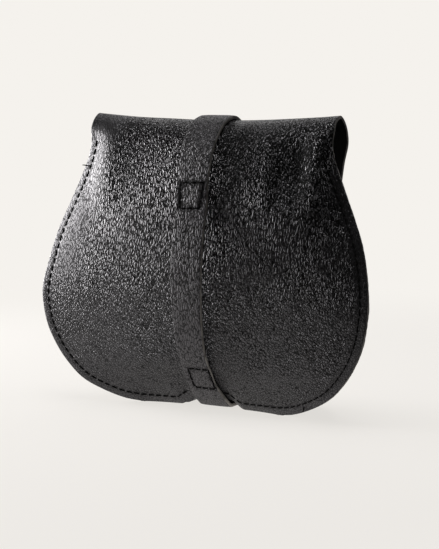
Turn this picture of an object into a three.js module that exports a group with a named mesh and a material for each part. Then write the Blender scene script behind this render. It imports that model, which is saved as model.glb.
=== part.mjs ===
// Leather belt pouch, standing upright as it does on a table. Millimetres, +Z up.
// The wearer's side, with the belt loop, faces -Y; the flap and the closure face +Y.
// X = 0 is the plane of symmetry, and the pouch rests on Z = 0.

import * as THREE from 'three';
import { mergeVertices } from 'three/addons/utils/BufferGeometryUtils.js';

// ---- driving dimensions ----
const PANEL_LEATHER = 1.5; // wall of the back, the flap and the front panel
const STRAP_LEATHER = 1.8; // wall of the strap
const SEAM_GAP = 0.5; // air between the two leathers of the seam, both of which are in flat facets
const SEAM_ALLOWANCE = 5.3; // from the cut edge in to the row of stitches
const SEAM_TOP = 118; // height at which the side seams end and the mouth opens

const MOUTH_DEPTH = 14.6; // how far forward the front panel's mouth bows on the centre line
const MOUTH_LEAN = 0.2; // rise for each unit forward of the way its outer face looks there

// The strap holds the leather up where it passes beneath. flatHalf: half width held at the full
// height. shoulder: width over which the leather comes down again on each side.
const BASE_CHANNEL = { height: 2.4, flatHalf: 12.0, shoulder: 5.5 };
const HEM_LIFT = { height: 4.5, flatHalf: 9.2, shoulder: 9.0, gone: 4.6 }; // gone: body section

// play: room that the keeper leaves round the strap's two ends, from front to back.
const KEEPER = {
  bottom: 51, height: 8, back: 30.8, insideHalf: 8.5, leather: 1.3, corner: 1.6, play: 1.5,
};

// Shallow dents of the wearer's side, alike on both sides of X = 0. x, z: middle. across, up: how
// far they reach. deep: depth into the pouch, or height out of it where negative.
const DENTS = [
  { at: 'below the fold end', x: 40.0, z: 120.0, across: 15.0, up: 24.0, deep: 1.7 },
  { at: 'ridge beside it', x: 55.0, z: 119.0, across: 12.0, up: 24.0, deep: -0.9 },
];

// The body: back panel, top fold and flap are one piece of leather. One row for each section,
// from the hem of the back, up the wearer's side, over the fold and down to the flap's edge.
// half: half width. edgeY, edgeZ: outer face at the side edge. midY, midZ: on the centre line.
const BODY = [
  { at: 'hem', half: 38.0, edgeY: -6.9, edgeZ: 0.35, midY: -2.6, midZ: 0.3 },
  { at: 'turn-under', half: 47.5, edgeY: -9.6, edgeZ: 1.7, midY: -7.0, midZ: 4.8 },
  { at: 'corner low', half: 58.3, edgeY: -12.9, edgeZ: 5.6, midY: -11.2, midZ: 9.9 },
  { at: 'corner high', half: 68.8, edgeY: -16.2, edgeZ: 11.4, midY: -15.6, midZ: 16.6 },
  { at: 'lower square', half: 77.3, edgeY: -17.6, edgeZ: 19.7, midY: -20.0, midZ: 24.5 },
  { at: 'loop foot', half: 83.3, edgeY: -18.8, edgeZ: 28.6, midY: -22.1, midZ: 33.0 },
  { at: 'belly low', half: 87.9, edgeY: -19.8, edgeZ: 39.0, midY: -22.9, midZ: 43.0 },
  { at: 'belly', half: 90.2, edgeY: -20.2, edgeZ: 51.0, midY: -23.1, midZ: 53.0 },
  { at: 'widest', half: 90.5, edgeY: -19.2, edgeZ: 60.0, midY: -23.1, midZ: 62.0 },
  { at: 'belly high', half: 88.3, edgeY: -15.9, edgeZ: 73.5, midY: -23.1, midZ: 75.0 },
  { at: 'shoulder', half: 84.6, edgeY: -13.2, edgeZ: 87.5, midY: -23.2, midZ: 88.0 },
  { at: 'upper square', half: 78.4, edgeY: -10.9, edgeZ: 102.0, midY: -23.3, midZ: 102.0 },
  { at: 'seam end', half: 72.9, edgeY: -9.3, edgeZ: 114.5, midY: -21.6, midZ: 114.0 },
  { at: 'waist low', half: 69.0, edgeY: -8.6, edgeZ: 124.5, midY: -18.6, midZ: 124.0 },
  { at: 'waist', half: 67.3, edgeY: -8.3, edgeZ: 132.5, midY: -14.6, midZ: 132.5 },
  { at: 'fold back', half: 67.6, edgeY: -8.0, edgeZ: 139.0, midY: -9.6, midZ: 138.6 },
  { at: 'fold rise', half: 67.2, edgeY: -5.2, edgeZ: 144.2, midY: -3.6, midZ: 142.4 },
  { at: 'ridge', half: 67.4, edgeY: 0.2, edgeZ: 146.7, midY: 3.2, midZ: 143.7 },
  { at: 'fold fall', half: 68.0, edgeY: 4.6, edgeZ: 143.4, midY: 9.2, midZ: 142.0 },
  { at: 'fold front', half: 68.2, edgeY: 7.4, edgeZ: 138.0, midY: 13.4, midZ: 137.6 },
  { at: 'flap root', half: 67.8, edgeY: 8.6, edgeZ: 132.0, midY: 16.2, midZ: 130.5 },
  { at: 'flap over mouth', half: 65.4, edgeY: 9.8, edgeZ: 123.5, midY: 17.8, midZ: 120.0 },
  { at: 'flap high', half: 62.6, edgeY: 12.0, edgeZ: 111.0, midY: 20.2, midZ: 107.0 },
  { at: 'flap upper', half: 59.6, edgeY: 13.2, edgeZ: 97.0, midY: 23.6, midZ: 92.0 },
  { at: 'flap middle', half: 56.0, edgeY: 17.4, edgeZ: 83.0, midY: 26.9, midZ: 77.0 },
  { at: 'flap low', half: 51.0, edgeY: 21.4, edgeZ: 70.0, midY: 29.2, midZ: 62.0 },
  { at: 'flap turn', half: 43.5, edgeY: 25.8, edgeZ: 59.0, midY: 30.4, midZ: 50.0 },
  { at: 'flap edge', half: 33.0, edgeY: 28.8, edgeZ: 49.5, midY: 30.9, midZ: 41.0 },
];
const BODY_BOW = 2.0; // how fast a section leaves its centre line towards the side edges
const WAIST_ROW = BODY.findIndex((section) => section.at === 'waist');
const RIDGE_ROW = BODY.findIndex((section) => section.at === 'ridge');

// The front panel on its centre line, from the seam forward under the pouch and up to the mouth.
// y, z: outer face. turn: how far round, in degrees, the same ring has come at the side seams.
const FRONT = [
  { at: 'over the seam', turn: 6, y: -3.2, z: 8.2 },
  { at: 'over the hem', turn: 13, y: 0.0, z: 7.4 },
  { at: 'down to rest', turn: 20, y: 3.6, z: 3.2 },
  { at: 'rest back', turn: 27, y: 7.4, z: 0.0 },
  { at: 'rest front', turn: 39, y: 18.6, z: 0.0 },
  { at: 'toe', turn: 47, y: 24.0, z: 4.0 },
  { at: 'toe rise', turn: 54, y: 26.8, z: 12.0 },
  { at: 'front low', turn: 60, y: 28.3, z: 26.0 },
  { at: 'front belly', turn: 66, y: 28.3, z: 42.0 },
  { at: 'front middle', turn: 73, y: 26.2, z: 62.0 },
  { at: 'front high', turn: 81, y: 21.8, z: 88.0 },
  { at: 'mouth', turn: 90, y: MOUTH_DEPTH, z: SEAM_TOP },
];

// Where a ring changes from the sides' round profile to FRONT's, as a share of the way down: 0 is
// straight out to the side and 1 straight down. It starts at base for rings that have turned up to
// baseTurn, and at belly from bellyTurn on. From full on it is FRONT's alone.
const PROFILE_SHARE = { base: 0.45, belly: 0.1, full: 0.95, baseTurn: 45, bellyTurn: 75 };
// The base comes down to the table between its corners, and less and less over each shoulder.
const BASE_REST = { flatHalf: 34.0, shoulder: 18.0 };

// The strap's outer face on the plane X = 0, from the tip that hangs on the flap, over the
// fold, down the wearer's side, under the base and up to the tip inside the keeper.
const STRAP = [
  { at: 'hanging tip', half: 8.2, y: 35.4, z: 36.0 },
  { at: 'keeper foot', half: 8.2, y: 36.3, z: 49.0 },
  { at: 'keeper head', half: 8.2, y: 36.3, z: 60.0 },
  { at: 'over the tucked tip', half: 8.2, y: 33.9, z: 71.0 },
  { at: 'flap low', half: 8.4, y: 30.0, z: 80.0 },
  { at: 'flap middle', half: 8.6, y: 26.6, z: 90.5 },
  { at: 'flap high', half: 8.8, y: 22.6, z: 107.0 },
  { at: 'flap top', half: 9.0, y: 20.2, z: 120.0 },
  { at: 'fold front', half: 9.0, y: 18.8, z: 131.0 },
  { at: 'fold fall', half: 8.8, y: 15.0, z: 139.5 },
  { at: 'fold top front', half: 8.7, y: 10.1, z: 144.0 },
  { at: 'fold top', half: 8.7, y: 4.2, z: 145.9 },
  { at: 'fold top back', half: 8.8, y: -1.8, z: 145.3 },
  { at: 'fold rise', half: 8.9, y: -8.3, z: 142.8 },
  { at: 'fold back', half: 8.8, y: -14.2, z: 137.6 },
  { at: 'waist', half: 8.6, y: -18.6, z: 131.6 },
  { at: 'waist low', half: 8.4, y: -21.9, z: 124.2 },
  { at: 'upper square top', half: 8.2, y: -24.2, z: 115.0 },
  { at: 'upper square foot', half: 8.1, y: -25.5, z: 102.0 },
  { at: 'loop top', half: 8.2, y: -28.6, z: 92.0 },
  { at: 'loop high', half: 8.3, y: -30.6, z: 80.0 },
  { at: 'loop middle', half: 8.2, y: -31.4, z: 65.0 },
  { at: 'loop low', half: 7.8, y: -30.4, z: 49.0 },
  { at: 'loop foot', half: 7.4, y: -27.6, z: 35.5 },
  { at: 'lower square top', half: 7.3, y: -24.0, z: 26.8 },
  { at: 'lower square foot', half: 7.5, y: -15.9, z: 14.4 },
  { at: 'round the hem', half: 8.2, y: -9.9, z: 8.0 },
  { at: 'hem', half: 8.4, y: -3.3, z: 2.6 },
  { at: 'under hem', half: 8.4, y: 1.6, z: 0.0 },
  { at: 'under base', half: 8.3, y: 10.0, z: 0.0 },
  { at: 'under toe', half: 8.2, y: 19.4, z: 0.0 },
  { at: 'toe', half: 8.2, y: 25.4, z: 1.2 },
  { at: 'toe rise', half: 8.2, y: 29.2, z: 8.6 },
  { at: 'base front', half: 8.2, y: 30.6, z: 22.0 },
  { at: 'below the flap', half: 8.2, y: 32.2, z: 33.0 },
  { at: 'onto the flap', half: 8.2, y: 33.6, z: 42.0 },
  { at: 'in the keeper foot', half: 8.2, y: 34.2, z: 50.0 },
  { at: 'in the keeper head', half: 8.2, y: 34.2, z: 59.0 },
  { at: 'tucked tip', half: 8.2, y: 31.9, z: 68.0 },
];

// How finely each piece is divided. Rows are counted in the tables above.
const BODY_STEPS = 41;
const BODY_COLUMNS = 28;
const STRAP_STEPS_PER_ROW = 3;
const HEM_STATIONS = [0, 6, 9.2, 11.4, 13.7, 16, 18.2, 22.5, 27.5, 32.8]; // distances from the centre
const SEAM_STATIONS = 17; // stations up each side seam
const FRONT_RINGS = [0, 0.5, 1, 2, 3, 4, 4.5, 5, 5.5, 6, 6.5, 7, 7.5, 8, 8.5, 9, 9.5, 10, 10.5];
const KEEPER_CORNER_STEPS = 4;

const SEARCH_STEPS = 40; // halvings of the rows when a place on the back is looked up
const SLOPE_STEP = 0.02; // step in rows and in side fractions over which a slope is taken
const MERGE_DISTANCE = 1e-3; // corners closer than this are one

const LEATHER_BLACK = '#1b1a1b';
const STRAP_BLACK = '#161516';

// ---- helpers ----

// Smooth value of one column of a table at a fractional row number.
function column(table, key, row) {
  const last = table.length - 1;
  const i = Math.min(Math.max(Math.floor(row), 0), last - 1);
  const f = row - i;
  const value = (k) => table[Math.min(Math.max(k, 0), last)][key];
  const [a, b, c, d] = [value(i - 1), value(i), value(i + 1), value(i + 2)];
  return b + 0.5 * f * (c - a + f * (2 * a - 5 * b + 4 * c - d + f * (3 * (b - c) + d - a)));
}

function smoothstep(low, high, x) {
  const t = Math.min(Math.max((x - low) / (high - low), 0), 1);
  return t * t * (3 - 2 * t);
}

// 1 within flatHalf of the centre line, and 0 from a soft shoulder further out.
function withinShoulders({ flatHalf, shoulder }, x) {
  return smoothstep(flatHalf + shoulder, flatHalf, Math.abs(x));
}

// Unit normals of a grid of points, on the side of (next row - row) x (next column - column).
function gridNormals(grid) {
  return grid.map((row, i) => row.map((point, j) => {
    const before = grid[Math.max(i - 1, 0)][j];
    const after = grid[Math.min(i + 1, grid.length - 1)][j];
    const left = row[Math.max(j - 1, 0)];
    const right = row[Math.min(j + 1, row.length - 1)];
    const along = after.clone().sub(before);
    const across = right.clone().sub(left);
    return along.cross(across).normalize();
  }));
}

// A grid moved along its normals by a signed distance.
function offsetGrid(grid, normals, distance) {
  return grid.map((row, i) => row.map((p, j) => p.clone().addScaledVector(normals[i][j], distance)));
}

// A closed wall of leather between two grids of the same size. The outer grid's normals face out.
function wallBetween(outer, inner) {
  const rows = outer.length;
  const columns = outer[0].length;
  const points = [...outer.flat(), ...inner.flat()];
  const out = (i, j) => i * columns + j;
  const into = (i, j) => rows * columns + i * columns + j;
  const faces = [];
  const quad = (a, b, c, d) => faces.push([a, b, c], [a, c, d]);
  for (let i = 0; i < rows - 1; i++) {
    for (let j = 0; j < columns - 1; j++) {
      quad(out(i, j), out(i + 1, j), out(i + 1, j + 1), out(i, j + 1));
      quad(into(i, j), into(i, j + 1), into(i + 1, j + 1), into(i + 1, j));
    }
    quad(out(i, 0), into(i, 0), into(i + 1, 0), out(i + 1, 0));
    const j = columns - 1;
    quad(out(i, j), out(i + 1, j), into(i + 1, j), into(i, j));
  }
  for (let j = 0; j < columns - 1; j++) {
    quad(out(0, j), out(0, j + 1), into(0, j + 1), into(0, j));
    const i = rows - 1;
    quad(out(i, j), into(i, j), into(i, j + 1), out(i, j + 1));
  }
  return solidFromFaces(points, faces);
}

// Merges equal corners and drops the faces that this leaves without area.
function solidFromFaces(points, faces) {
  const positions = points.flatMap((p) => [p.x, p.y, p.z]);
  const soup = new THREE.BufferGeometry();
  soup.setAttribute('position', new THREE.Float32BufferAttribute(positions, 3));
  soup.setIndex(faces.flat());
  const merged = mergeVertices(soup, MERGE_DISTANCE);
  const index = merged.getIndex().array;
  const kept = [];
  for (let k = 0; k < index.length; k += 3) {
    const [a, b, c] = [index[k], index[k + 1], index[k + 2]];
    if (a !== b && b !== c && c !== a) kept.push(a, b, c);
  }
  merged.setIndex(kept);
  return merged;
}

function leatherMesh(name, geometry, color) {
  const material = new THREE.MeshStandardMaterial({ color, roughness: 0.55, metalness: 0 });
  const mesh = new THREE.Mesh(geometry, material);
  mesh.name = name;
  return mesh;
}

// ---- the body: back panel, top fold and flap ----

// The middle of the hem rides over the strap, and this dies away to the sides and upwards.
function hemLift(row, x) {
  return HEM_LIFT.height * withinShoulders(HEM_LIFT, x) * smoothstep(HEM_LIFT.gone, 0, row);
}

// A round bump of height 1 at u = 0 that is flat again from u = 1 on.
function bump(u) {
  return Math.max(1 - u * u, 0) ** 2;
}

// How far the dents move the leather into the pouch, at a place of the wearer's side.
function dentDepth(row, x, z) {
  if (row > RIDGE_ROW) return 0;
  const depths = DENTS.map((dent) =>
    dent.deep * bump((Math.abs(x) - dent.x) / dent.across) * bump((z - dent.z) / dent.up));
  return depths.reduce((sum, depth) => sum + depth, 0);
}

// Outer face of the body at a fractional section row and a signed fraction of the half width.
function bodyPoint(row, t) {
  const bow = Math.abs(t) ** BODY_BOW;
  const get = (key) => column(BODY, key, row);
  const x = t * get('half');
  const y = THREE.MathUtils.lerp(get('midY'), get('edgeY'), bow);
  const z = THREE.MathUtils.lerp(get('midZ'), get('edgeZ'), bow);
  return new THREE.Vector3(x, y + dentDepth(row, x, z), z + hemLift(row, x));
}

function makeBody() {
  const outer = [];
  for (let i = 0; i <= BODY_STEPS; i++) {
    const row = (i / BODY_STEPS) * (BODY.length - 1);
    const points = [];
    for (let j = 0; j <= BODY_COLUMNS; j++) points.push(bodyPoint(row, 1 - (2 * j) / BODY_COLUMNS));
    outer.push(points);
  }
  const inner = offsetGrid(outer, gridNormals(outer), -PANEL_LEATHER);
  return leatherMesh('back_and_flap', wallBetween(outer, inner), LEATHER_BLACK);
}

// ---- the front panel ----

// Section row of the back at which a height that grows with the row reaches a given one.
function rowAtHeight(heightOf, height) {
  let low = 0;
  let high = WAIST_ROW;
  for (let k = 0; k < SEARCH_STEPS; k++) {
    const middle = (low + high) / 2;
    if (heightOf(middle) < height) low = middle;
    else high = middle;
  }
  return low;
}

// Section row and side fraction of the body's point that lies behind a place (x, z).
function bodyPlaceBehind(x, z) {
  const sideFraction = (row) => x / column(BODY, 'half', row);
  const row = rowAtHeight((place) => bodyPoint(place, sideFraction(place)).z, z);
  return { row, t: sideFraction(row) };
}

// Unit normal of the body at a place, pointing into the pouch.
function bodyInwardNormal(row, t) {
  const up = bodyPoint(row + SLOPE_STEP, t).sub(bodyPoint(Math.max(row - SLOPE_STEP, 0), t));
  const side = bodyPoint(row, t + SLOPE_STEP).sub(bodyPoint(row, t - SLOPE_STEP));
  const normal = up.cross(side).normalize();
  return normal.y > 0 ? normal : normal.negate();
}

// Stations round the cut edge, from the right-hand end of the seam round to the left-hand end.
function seamEdge() {
  const topRow = rowAtHeight((row) => column(BODY, 'edgeZ', row), SEAM_TOP);
  const hemHalf = BODY[0].half;
  const half = HEM_STATIONS.map((x) => ({ row: 0, t: x / hemHalf }));
  for (let k = 0; k <= SEAM_STATIONS; k++) half.push({ row: (k / SEAM_STATIONS) * topRow, t: 1 });
  const mirrored = half.slice(1).map(({ row, t }) => ({ row, t: -t }));
  return [...half.reverse(), ...mirrored];
}

// The stitch line: each station moved in from the edge by the seam allowance, on the body.
function stitchPlaces(edge) {
  const points = edge.map(({ row, t }) => bodyPoint(row, t));
  return points.map((point, k) => {
    const before = points[Math.max(k - 1, 0)];
    const after = points[Math.min(k + 1, points.length - 1)];
    const along = new THREE.Vector2(after.x - before.x, after.z - before.z).normalize();
    const inset = SEAM_ALLOWANCE - PANEL_LEATHER;
    return bodyPlaceBehind(point.x + along.y * inset, point.z - along.x * inset);
  });
}

// How far a place of the front panel follows FRONT rather than the sides' round profile.
function profileShare(seam, turnDegrees) {
  const { base, belly, full, baseTurn, bellyTurn } = PROFILE_SHARE;
  const down = (SEAM_TOP - seam.z) ** 2;
  const start = THREE.MathUtils.lerp(base, belly, smoothstep(baseTurn, bellyTurn, turnDegrees));
  return smoothstep(start, full, down / (down + seam.x ** 2));
}

// Outer face of the front panel inside the seam, at a fractional row of its table.
function frontPoint(seam, centreSeam, row) {
  const turnDegrees = column(FRONT, 'turn', row);
  const turn = THREE.MathUtils.degToRad(turnDegrees);
  const share = profileShare(seam, turnDegrees);
  const sideInset = 1 - Math.cos(turn);
  const baseInset = (column(FRONT, 'z', row) - centreSeam.z) / (SEAM_TOP - centreSeam.z);
  const inset = THREE.MathUtils.lerp(sideInset, baseInset, share);
  const narrowing = Math.max(inset, 0);
  const sag = Math.min(inset, 0) * withinShoulders(BASE_REST, seam.x);
  const sideY = THREE.MathUtils.lerp(seam.y, MOUTH_DEPTH, Math.sin(turn));
  const baseY = column(FRONT, 'y', row) + (seam.y - centreSeam.y) * (1 - Math.sin(turn));
  const x = seam.x * (1 - narrowing);
  const y = THREE.MathUtils.lerp(sideY, baseY, share);
  const z = THREE.MathUtils.lerp(seam.z, SEAM_TOP, narrowing + sag);
  const channel = BASE_CHANNEL.height * withinShoulders(BASE_CHANNEL, x);
  return new THREE.Vector3(x, y, Math.max(z, channel));
}

function makeFrontPanel() {
  const edge = seamEdge();
  const stitch = stitchPlaces(edge);
  const insideTheBack = ({ row, t }, distance) =>
    bodyPoint(row, t).addScaledVector(bodyInwardNormal(row, t), distance);
  const outsideOffset = 2 * PANEL_LEATHER + SEAM_GAP;
  const seam = stitch.map((place) => insideTheBack(place, outsideOffset));
  const centreSeam = seam[(seam.length - 1) / 2];
  const mouth = new THREE.Vector3(0, MOUTH_DEPTH, SEAM_TOP);

  const outer = edge.map((place, k) => {
    const rings = FRONT_RINGS.map((row) => frontPoint(seam[k], centreSeam, row));
    return [insideTheBack(place, outsideOffset), seam[k], ...rings, mouth.clone()];
  });
  const normals = gridNormals(outer);
  const last = outer[0].length - 1;
  const mouthNormal = new THREE.Vector3(0, 1, MOUTH_LEAN).normalize();
  normals.forEach((row) => { row[last] = mouthNormal; });
  const inner = offsetGrid(outer, normals, -PANEL_LEATHER);
  return leatherMesh('front_panel', wallBetween(outer, inner), LEATHER_BLACK);
}

// ---- the strap and its keeper ----

function makeStrap() {
  const steps = (STRAP.length - 1) * STRAP_STEPS_PER_ROW;
  const outer = [];
  for (let k = 0; k <= steps; k++) {
    const row = k / STRAP_STEPS_PER_ROW;
    const half = column(STRAP, 'half', row);
    const [y, z] = [column(STRAP, 'y', row), Math.max(column(STRAP, 'z', row), 0)];
    outer.push([new THREE.Vector3(-half, y, z), new THREE.Vector3(half, y, z)]);
  }
  const inner = offsetGrid(outer, gridNormals(outer), -STRAP_LEATHER);
  return leatherMesh('strap', wallBetween(outer, inner), STRAP_BLACK);
}

function roundedRectangle(path, left, bottom, right, top, radius) {
  path.moveTo(left + radius, bottom);
  path.lineTo(right - radius, bottom);
  path.absarc(right - radius, bottom + radius, radius, -Math.PI / 2, 0);
  path.lineTo(right, top - radius);
  path.absarc(right - radius, top - radius, radius, 0, Math.PI / 2);
  path.lineTo(left + radius, top);
  path.absarc(left + radius, top - radius, radius, Math.PI / 2, Math.PI);
  path.lineTo(left, bottom + radius);
  path.absarc(left + radius, bottom + radius, radius, Math.PI, 1.5 * Math.PI);
  return path;
}

function makeKeeper() {
  const { bottom, height, back, insideHalf, leather, corner, play } = KEEPER;
  const insideBack = back + leather;
  const insideFront = insideBack + 2 * STRAP_LEATHER + play;
  const front = insideFront + leather;
  const side = insideHalf + leather;
  const ring = roundedRectangle(new THREE.Shape(), -side, back, side, front, corner);
  const hole = new THREE.Path();
  roundedRectangle(hole, -insideHalf, insideBack, insideHalf, insideFront, corner - leather);
  ring.holes.push(hole);
  const options = { depth: height, bevelEnabled: false, curveSegments: KEEPER_CORNER_STEPS };
  const mesh = leatherMesh('keeper', new THREE.ExtrudeGeometry(ring, options), STRAP_BLACK);
  mesh.position.z = bottom;
  return mesh;
}

const pieces = new THREE.Group();
pieces.add(makeBody(), makeFrontPanel(), makeStrap(), makeKeeper());

// The origin is on the resting surface, under the middle of the whole pouch.
const middle = new THREE.Box3().setFromObject(pieces).getCenter(new THREE.Vector3());
pieces.position.y = -middle.y;

const pouch = new THREE.Group();
pouch.add(pieces);
export default pouch;
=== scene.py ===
"""A black leather belt pouch, standing upright as it does on a table. Metres, +Z up.

The wearer's side, with the belt loop, faces -Y. The flap and the keeper face +Y.
"""

import math

import bpy
import numpy as np
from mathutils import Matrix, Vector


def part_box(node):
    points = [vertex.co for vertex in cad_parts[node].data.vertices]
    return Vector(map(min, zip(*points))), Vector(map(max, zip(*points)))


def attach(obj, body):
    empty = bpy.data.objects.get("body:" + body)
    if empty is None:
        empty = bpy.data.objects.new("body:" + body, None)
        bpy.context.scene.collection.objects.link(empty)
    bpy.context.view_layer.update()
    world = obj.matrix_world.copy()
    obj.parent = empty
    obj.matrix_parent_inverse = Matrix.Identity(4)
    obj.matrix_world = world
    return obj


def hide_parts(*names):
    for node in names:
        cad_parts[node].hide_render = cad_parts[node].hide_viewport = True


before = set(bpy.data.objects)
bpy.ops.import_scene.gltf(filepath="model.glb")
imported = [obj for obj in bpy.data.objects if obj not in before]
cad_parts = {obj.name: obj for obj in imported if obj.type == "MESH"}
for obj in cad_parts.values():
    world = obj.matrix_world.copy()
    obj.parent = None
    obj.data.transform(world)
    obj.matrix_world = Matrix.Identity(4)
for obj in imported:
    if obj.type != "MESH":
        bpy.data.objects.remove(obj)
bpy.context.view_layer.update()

# ---- Back and flap ---------------------------------------------------------------------------
# One piece of pebbled leather: the wearer's side, the fold over the mouth and the flap. It is cut
# to shape with a knife, so its edges are bare, and the front panel is sewn to it from inside the
# edge. Standing, it takes shallow dents below the ends of the fold.

MM = 0.001
LEATHER = 1.5 * MM
SEAM_TOP = 118.0 * MM  # height at which the front panel ends
ROW_TOP = 133.5 * MM  # height at which the row of stitches ends, up the edges of the back
STITCH_INSET = 3.8 * MM  # from the cut edge in to the row of stitches

# Sections from the hem up the wearer's side, over the fold and down to the flap's edge: half
# width, then the outer face at the side edge and on the centre line.
BODY = MM * np.array([
    # half, edge_y, edge_z, mid_y, mid_z
    (38.0, -6.9, 0.35, -2.6, 0.3),  # hem
    (47.5, -9.6, 1.7, -7.0, 4.8),  # turn-under
    (58.3, -12.9, 5.6, -11.2, 9.9),  # corner low
    (68.8, -16.2, 11.4, -15.6, 16.6),  # corner high
    (77.3, -17.6, 19.7, -20.0, 24.5),  # lower square
    (83.3, -18.8, 28.6, -22.1, 33.0),  # loop foot
    (87.9, -19.8, 39.0, -24.0, 43.0),  # belly low
    (90.2, -20.2, 51.0, -25.2, 53.0),  # belly
    (90.5, -19.2, 60.0, -25.7, 62.0),  # widest
    (88.3, -15.9, 73.5, -25.7, 75.0),  # belly high
    (84.6, -13.2, 87.5, -24.9, 88.0),  # shoulder
    (78.4, -10.9, 102.0, -23.3, 102.0),  # upper square
    (72.9, -9.3, 114.5, -21.6, 114.0),  # seam end
    (69.0, -8.6, 124.5, -18.6, 124.0),  # waist low
    (67.3, -8.3, 132.5, -14.6, 132.5),  # waist
    (67.6, -8.0, 139.0, -9.6, 138.6),  # fold back
    (67.2, -5.2, 144.2, -3.6, 142.4),  # fold rise
    (67.4, 0.2, 146.7, 3.2, 143.7),  # ridge
    (68.0, 4.6, 143.4, 9.2, 142.0),  # fold fall
    (68.2, 7.4, 138.0, 13.4, 137.6),  # fold front
    (67.8, 8.6, 132.0, 16.2, 130.5),  # flap root
    (65.4, 9.8, 123.5, 17.8, 120.0),  # flap over the mouth
    (62.6, 12.0, 111.0, 20.2, 107.0),  # flap high
    (59.6, 13.2, 97.0, 23.6, 92.0),  # flap upper
    (56.0, 17.4, 83.0, 26.9, 77.0),  # flap middle
    (51.0, 21.4, 70.0, 29.2, 62.0),  # flap low
    (43.5, 25.8, 59.0, 30.4, 50.0),  # flap turn
    (33.0, 28.8, 49.5, 30.9, 41.0),  # flap edge
])
WAIST, RIDGE, FLAP_EDGE = 14, 17, 27  # rows of the table above
FULL_BOW = 2.8  # power of the curve from the middle to the edges: fuller than the solid's 2
# The table's Y is counted from the mouth's plane, and the frame's from the middle of the pouch.
FRAME_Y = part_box("back_and_flap")[1].y - BODY[FLAP_EDGE, 3]

# The strap holds the middle of the hem up, over a half width that ends in a soft shoulder.
HEM_LIFT = 4.5 * MM
HEM_LIFT_HALF, HEM_LIFT_SHOULDER = 9.2 * MM, 9.0 * MM
HEM_LIFT_GONE = 4.6  # row of the table above at which the lift has died away

# Dents and the ridges beside them: side (-1 left, 1 right, seen from the wearer's side), place,
# reach across and up, and depth into the pouch.
DENTS = [
    # side, x, z, across, up, deep
    (1, 48.0, 122.0, 13.0, 25.0, 2.3),
    (1, 60.5, 120.0, 9.5, 27.0, -3.2),
    (-1, 54.0, 123.0, 12.5, 32.0, -2.1),
    (-1, 28.0, 122.0, 22.0, 26.0, 0.8),
    (1, 70.0, 92.0, 14.0, 22.0, 0.6),
    (-1, 30.0, 30.0, 24.0, 16.0, -0.6),
]


def smooth(table, row):
    """All columns of a table at fractional rows, on a curve through its rows."""
    last = len(table) - 1
    row = np.asarray(row, float)
    i = np.clip(np.floor(row).astype(int), 0, last - 1)
    f = (row - i)[..., None]
    a, b, c, d = (table[np.clip(i + k, 0, last)] for k in (-1, 0, 1, 2))
    return b + 0.5 * f * (c - a + f * (2 * a - 5 * b + 4 * c - d + f * (3 * (b - c) + d - a)))


def ramp(low, high, x):
    """0 at low, 1 at high, and soft at both ends."""
    t = np.clip((x - low) / (high - low), 0, 1)
    return t * t * (3 - 2 * t)


def unit(vectors):
    """Vectors made one long."""
    return vectors / np.maximum(np.linalg.norm(vectors, axis=-1, keepdims=True), 1e-12)


def mixed(a, b, share):
    """The way from a to b, by a share."""
    return a + (b - a) * share


def waves(points, length, seed, count=7):
    """Soft random undulation of height 1 or less, the sum of some waves about that long."""
    rng = np.random.default_rng(seed)
    total = 0
    for _ in range(count):
        way = unit(rng.normal(size=3)) * 2 * math.pi / (length * rng.uniform(0.7, 1.4))
        total = total + np.sin(points @ way + rng.uniform(0, 2 * math.pi))
    return total / count


def dent_depth(x, z):
    """How far the dents move the wearer's side into the pouch."""
    total = 0
    for side, dent_x, dent_z, across, up, deep in DENTS:
        u = (side * x - dent_x * MM) / (across * MM)
        v = (z - dent_z * MM) / (up * MM)
        total = total + deep * MM * np.clip(1 - u * u, 0, 1)**2 * np.clip(1 - v * v, 0, 1)**2
    return total


def body_points(row, side):
    """Outer face at fractional rows of BODY and signed fractions of the half width."""
    half, edge_y, edge_z, mid_y, mid_z = np.moveaxis(smooth(BODY, row), -1, 0)
    x = side * half
    y = mixed(mid_y, edge_y, abs(side)**FULL_BOW)
    z = mixed(mid_z, edge_z, side**2)
    y = y + np.where(row < RIDGE, dent_depth(x, z), 0)
    lift = ramp(HEM_LIFT_HALF + HEM_LIFT_SHOULDER, HEM_LIFT_HALF, abs(x))
    z = z + HEM_LIFT * lift * ramp(HEM_LIFT_GONE, 0, row)
    return np.stack([x, y + FRAME_Y, z], -1)


def grid_normals(grid):
    """Unit normals of a grid of points, on the side of (next column) x (next row)."""
    return unit(np.cross(np.gradient(grid, axis=1), np.gradient(grid, axis=0)))


def spread(count, crowding):
    """Evenly from -1 to 1, but closer together towards both ends."""
    u = np.linspace(-1, 1, count)
    return mixed(u, np.sin(u * math.pi / 2), crowding)


def rim_loop(rows, columns):
    """Row and column numbers once round the border of a grid, right, up, left and down."""
    right = [(0, j) for j in range(columns - 1)]
    up = [(i, columns - 1) for i in range(rows - 1)]
    left = [(rows - 1, j) for j in range(columns - 1, 0, -1)]
    down = [(i, 0) for i in range(rows - 1, 0, -1)]
    return np.array(right + up + left + down)


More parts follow.
